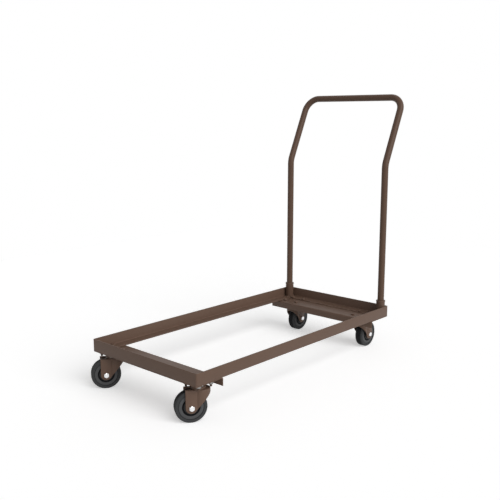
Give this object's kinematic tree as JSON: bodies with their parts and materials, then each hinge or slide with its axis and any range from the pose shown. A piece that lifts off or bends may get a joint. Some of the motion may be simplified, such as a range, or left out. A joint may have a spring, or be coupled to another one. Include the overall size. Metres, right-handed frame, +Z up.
{
  "type": "stacking chair trolley",
  "caption": "Low angle-iron frame on swivel casters with a tall bent tube handle at one end, for wheeling a flat stack of chairs.",
  "frame": {"origin": "on the floor, at the centre of the outline of the whole trolley at rest", "axes": "+X towards the handle end, +Y to the right-hand side of a person who pushes, +Z up"},
  "size_m": [1.1688, 0.5118, 0.9898],
  "materials": {
    "powder_coat": "satin brown powder coat",
    "zinc": "bright zinc plate",
    "plain_steel": "dull plated steel",
    "wheel_core": "moulded",
    "dust_cover": "moulded",
    "tyre": "matt rubber"
  },
  "bodies": {
    "frame": {"side_rail_left": "powder_coat", "side_rail_right": "powder_coat", "end_rail_front": "powder_coat", "end_rail_rear": "powder_coat", "cross_plate_front": "powder_coat", "cross_plate_rear": "powder_coat", "handle_socket_left": "powder_coat", "handle_socket_right": "powder_coat", "caster_bolts": "powder_coat", "caster_washers": "plain_steel", "caster_nuts": "plain_steel", "kingpin_nuts": "zinc", "caster_plate_front_left": "powder_coat", "kingpin_front_left": "zinc", "caster_plate_front_right": "powder_coat", "kingpin_front_right": "zinc", "caster_plate_rear_left": "powder_coat", "kingpin_rear_left": "zinc", "caster_plate_rear_right": "powder_coat", "kingpin_rear_right": "zinc"},
    "handle": {"handle_tube": "powder_coat"},
    "fork_front_left": {"fork_front_left": "powder_coat", "lower_race_front_left": "powder_coat", "bearing_balls_front_left": "zinc", "axle_bolt_front_left": "zinc", "axle_nut_front_left": "zinc", "axle_sleeve_front_left": "plain_steel"},
    "wheel_front_left": {"wheel_core_front_left": "wheel_core", "dust_covers_front_left": "dust_cover", "tyre_front_left": "tyre"},
    "fork_front_right": {"fork_front_right": "powder_coat", "lower_race_front_right": "powder_coat", "bearing_balls_front_right": "zinc", "axle_bolt_front_right": "zinc", "axle_nut_front_right": "zinc", "axle_sleeve_front_right": "plain_steel"},
    "wheel_front_right": {"wheel_core_front_right": "wheel_core", "dust_covers_front_right": "dust_cover", "tyre_front_right": "tyre"},
    "fork_rear_left": {"fork_rear_left": "powder_coat", "lower_race_rear_left": "powder_coat", "bearing_balls_rear_left": "zinc", "axle_bolt_rear_left": "zinc", "axle_nut_rear_left": "zinc", "axle_sleeve_rear_left": "plain_steel"},
    "wheel_rear_left": {"wheel_core_rear_left": "wheel_core", "dust_covers_rear_left": "dust_cover", "tyre_rear_left": "tyre"},
    "fork_rear_right": {"fork_rear_right": "powder_coat", "lower_race_rear_right": "powder_coat", "bearing_balls_rear_right": "zinc", "axle_bolt_rear_right": "zinc", "axle_nut_rear_right": "zinc", "axle_sleeve_rear_right": "plain_steel"},
    "wheel_rear_right": {"wheel_core_rear_right": "wheel_core", "dust_covers_rear_right": "dust_cover", "tyre_rear_right": "tyre"}
  },
  "joints": [
    {"name": "handle_lift", "type": "slide", "parent": "frame", "child": "handle", "axis": [0, 0, 1], "range_m": [0, 0.06]},
    {"name": "swivel_front_left", "type": "hinge", "parent": "frame", "child": "fork_front_left", "pos_m": [-0.51496, -0.21295, 0.1303], "axis": [0, 0, 1], "continuous": true},
    {"name": "roll_front_left", "type": "hinge", "parent": "fork_front_left", "child": "wheel_front_left", "pos_m": [-0.53593, -0.19933, 0.05], "axis": [-0.5446, -0.8387, 0], "continuous": true},
    {"name": "swivel_front_right", "type": "hinge", "parent": "frame", "child": "fork_front_right", "pos_m": [-0.51496, 0.20405, 0.1303], "axis": [0, 0, 1], "continuous": true},
    {"name": "roll_front_right", "type": "hinge", "parent": "fork_front_right", "child": "wheel_front_right", "pos_m": [-0.53593, 0.21767, 0.05], "axis": [-0.5446, -0.8387, 0], "continuous": true},
    {"name": "swivel_rear_left", "type": "hinge", "parent": "frame", "child": "fork_rear_left", "pos_m": [0.41804, -0.17595, 0.1303], "axis": [0, 0, 1], "continuous": true},
    {"name": "roll_rear_left", "type": "hinge", "parent": "fork_rear_left", "child": "wheel_rear_left", "pos_m": [0.44304, -0.17551, 0.05], "axis": [-0.0175, 0.9998, 0], "continuous": true},
    {"name": "swivel_rear_right", "type": "hinge", "parent": "frame", "child": "fork_rear_right", "pos_m": [0.41804, 0.16705, 0.1303], "axis": [0, 0, 1], "continuous": true},
    {"name": "roll_rear_right", "type": "hinge", "parent": "fork_rear_right", "child": "wheel_rear_right", "pos_m": [0.44304, 0.16749, 0.05], "axis": [-0.0175, 0.9998, 0], "continuous": true}
  ]
}
